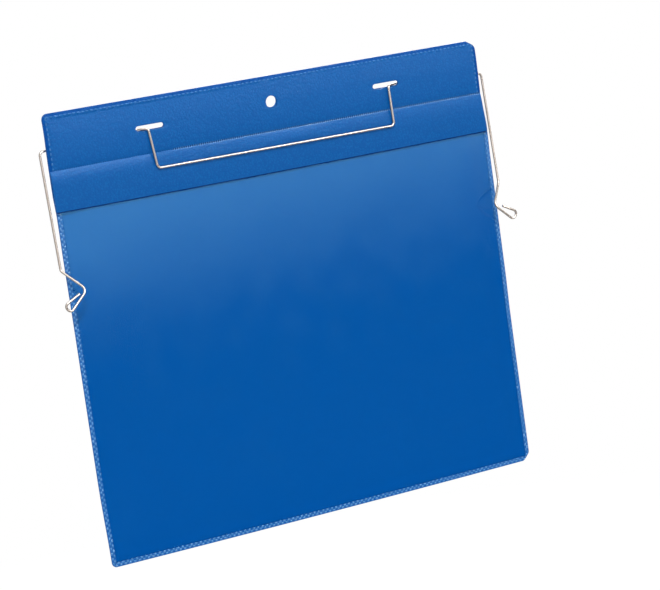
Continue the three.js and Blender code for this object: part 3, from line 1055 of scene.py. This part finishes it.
def floor():
    bm = bmesh.new()
    bmesh.ops.create_circle(bm, segments=FLOOR_SEGMENTS, radius=FLOOR_RADIUS, cap_ends=True)
    bmesh.ops.translate(bm, vec=Z_AXIS * FLOOR_Z, verts=bm.verts)
    made = finished(bm, "studio_floor", pale_floor())
    made.visible_glossy = False
    made.visible_transmission = False


floor()

# %% The room that mirrors see
ROOM_TURN = radians(28)
ROOM_AHEAD = Vector((sin(ROOM_TURN), -cos(ROOM_TURN), 0))


def heights(*degrees):
    """How high directions point that rise by so many degrees."""
    return tuple(sin(radians(angle)) for angle in degrees)


# Each place is where a light starts and where it is full, across the room or by its height.
FRONT_SPREAD = (cos(radians(60)), cos(radians(40)))
SIDES_SPREAD = (cos(radians(155)), cos(radians(100)))
SIDES_LEVEL = (0.4, 0.85)
STRIP_FOOT = heights(-7.8, -4.4)
STRIP_TOP = heights(6, -2)
STRIP_X = (0.60, 0.36)
STRIP_LEVEL = (0.004, 1.75)
STRIP_SIDE_LEVEL = (0.92, 1.08)
STRIP_TILT = 0.13
STRIP_PIVOT = 0.48
STRIP_REACH = 0.07
WALL_X = (0.50, 0.10)
WALL_FOOT = heights(0, 8)
WALL_LEVEL = (0.1, 2.5)
BELOW = heights(-26, -45)
BELOW_LEVEL = (0.0, 0.2)
SOFTBOX_FOOT = heights(6, 22)
SOFTBOX_TOP = heights(40, 32)
SOFTBOX_LEFT = (0.04, 0.24)
SOFTBOX_RIGHT = (0.74, 0.60)
SOFTBOX_LEVEL = 14.0


def soft_range(tree, value, source, target=(0.0, 1.0)):
    return map_range(tree, value, source, target, "SMOOTHSTEP")


def mix_values(tree, share, first, second):
    return add_node(tree, "Mix", {"Factor": share, "A": first, "B": second}).outputs[0]


def mirrored_strip(tree, place):
    """The strip that fades out downwards, tilted a little round its pivot."""
    sideways = combine(tree, "SUBTRACT", STRIP_PIVOT, place["X"])
    sideways = combine(tree, "MINIMUM", combine(tree, "MAXIMUM", sideways, -STRIP_REACH), STRIP_REACH)
    tilted = combine(tree, "ADD", place["Z"], combine(tree, "MULTIPLY", sideways, STRIP_TILT))
    return combine(
        tree,
        "MULTIPLY",
        soft_range(tree, tilted, STRIP_FOOT, STRIP_LEVEL),
        soft_range(tree, place["Z"], STRIP_TOP),
        soft_range(tree, place["X"], STRIP_X, STRIP_SIDE_LEVEL),
    )


def mirrored_softbox(tree, place):
    return combine(
        tree,
        "MULTIPLY",
        SOFTBOX_LEVEL,
        soft_range(tree, place["Z"], SOFTBOX_FOOT),
        soft_range(tree, place["Z"], SOFTBOX_TOP),
        soft_range(tree, place["X"], SOFTBOX_LEFT),
        soft_range(tree, place["X"], SOFTBOX_RIGHT),
    )


def mirrored_room(tree):
    """What polished faces see: a strip with a wall and a softbox over it, and pale sides."""
    direction = add_node(tree, "TexCoord").outputs["Generated"]
    place = add_node(tree, "SeparateXYZ", {0: direction}).outputs
    wall = soft_range(tree, place["X"], WALL_X, WALL_LEVEL)
    wall = combine(tree, "MULTIPLY", wall, soft_range(tree, place["Z"], WALL_FOOT))
    below = soft_range(tree, place["Z"], BELOW, BELOW_LEVEL)
    front = combine(tree, "ADD", mirrored_strip(tree, place), wall, below, mirrored_softbox(tree, place))
    ahead = add_node(tree, "VectorMath", {0: direction, 1: ROOM_AHEAD}, operation="DOT_PRODUCT")
    sides = soft_range(tree, ahead.outputs["Value"], SIDES_SPREAD, SIDES_LEVEL)
    return mix_values(tree, soft_range(tree, ahead.outputs["Value"], FRONT_SPREAD), sides, front)


print("the mirrored strip fades out over", [round(height, 3) for height in STRIP_FOOT])

# %% World
SKY_DIFFUSE = 0.58
# A ray's count of turns is whole, so less than this means that it was never turned.
NO_TURN = 0.5


def studio_world():
    """White to the eye and straight through the film, a room to mirrors, and an even sky to the rest."""
    world = bpy.data.worlds.new("studio_world")
    world.use_nodes = True
    world.cycles.sampling_method = "NONE"
    tree = world.node_tree
    path = add_node(tree, "LightPath").outputs
    mirrored = mix_values(tree, path["Is Glossy Ray"], SKY_DIFFUSE, mirrored_room(tree))
    turned = combine(tree, "ADD", path["Glossy Depth"], path["Diffuse Depth"])
    unturned = combine(tree, "LESS_THAN", turned, NO_TURN)
    through = combine(tree, "MULTIPLY", path["Is Transmission Ray"], unturned)
    straight = combine(tree, "MAXIMUM", path["Is Camera Ray"], through)
    strength = mix_values(tree, straight, mirrored, 1.0)
    set_inputs(tree, tree.nodes["Background"], {"Color": WHITE, "Strength": strength})
    return world


bpy.context.scene.world = studio_world()
print("world:", bpy.context.scene.world.name)

# %% Lamps
PART_MIDDLE = (cad_low + cad_high) / 2


def soft_lamp(name, place, size, power):
    """A square lamp that shines at the middle of the part."""
    data = bpy.data.lights.new(name, "AREA")
    data.size = size
    data.energy = power
    lamp = bpy.data.objects.new(name, data)
    lamp.location = place
    lamp.rotation_euler = (PART_MIDDLE - Vector(place)).to_track_quat("-Z", "Y").to_euler()
    bpy.context.scene.collection.objects.link(lamp)
    print(name, power, "W")


soft_lamp("key_softbox", place=(-1.0, -2.6, 2.7), size=0.5, power=72)
soft_lamp("rear_softbox", place=(1.0, 1.5, 1.0), size=0.8, power=40)
